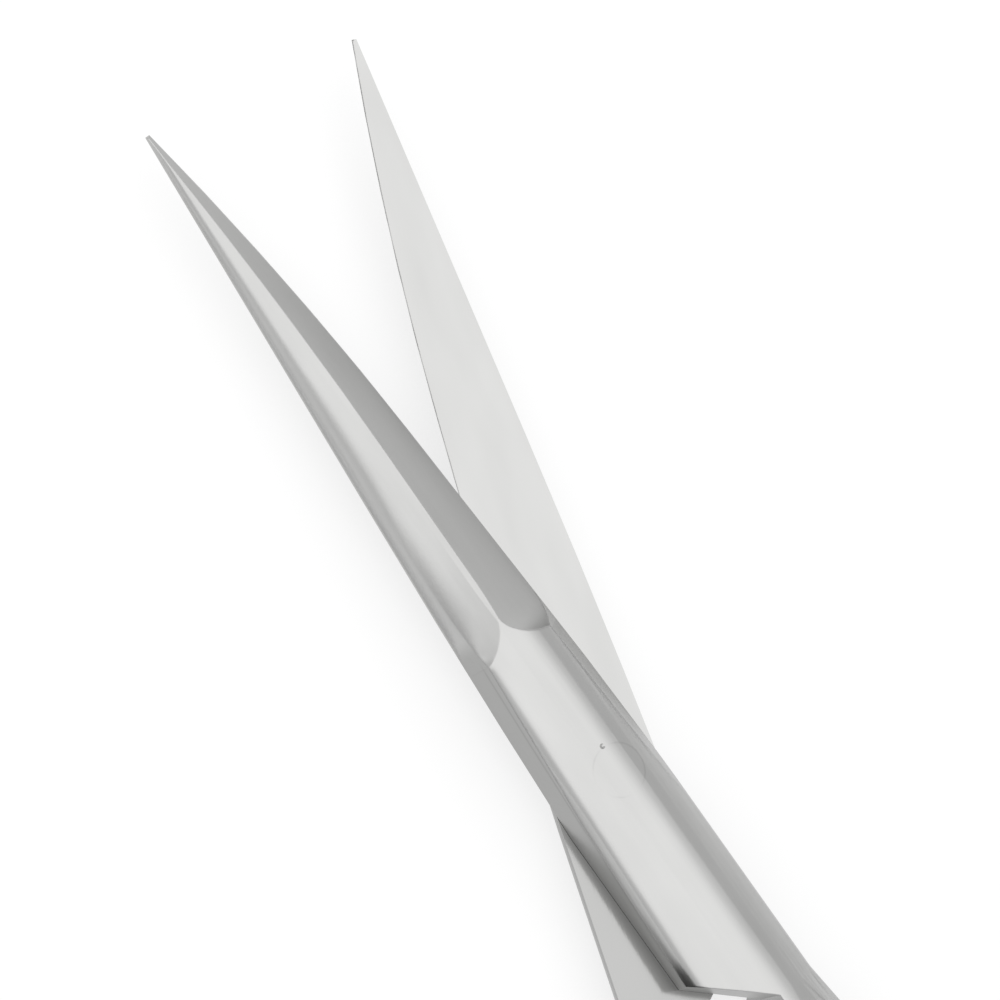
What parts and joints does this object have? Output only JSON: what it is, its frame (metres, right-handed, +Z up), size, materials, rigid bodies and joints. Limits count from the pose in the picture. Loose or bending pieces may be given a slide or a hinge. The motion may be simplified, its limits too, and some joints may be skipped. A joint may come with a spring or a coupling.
{
  "type": "dissecting scissors",
  "caption": "Fine straight dissecting scissors with sharp slender blades, a slotted pivot screw and oval finger rings, lying slightly open.",
  "frame": {"origin": "middle of the overall length and width, on the surface the scissors lie on; the pivot axis is 29.21 mm from it towards +Y", "axes": "+Y from the finger rings to the blade tips along the line that halves the opening, +Z up out of the resting surface along the pivot axis, +X completes the right-handed frame, towards the ring of the upper half"},
  "size_m": [0.0724, 0.1118, 0.0034],
  "materials": {
    "forged_steel": "fine satin ground stainless steel",
    "screw_steel": "turned and flush-ground stainless steel"
  },
  "bodies": {
    "upper": {"upper_half": "forged_steel", "pivot_screw": "screw_steel"},
    "lower": {"lower_half": "forged_steel"}
  },
  "joints": [
    {"name": "pivot", "type": "hinge", "parent": "upper", "child": "lower", "pos_m": [0, 0.02921, 0], "axis": [0, 0, -1], "range_deg": [-18, 130]}
  ]
}
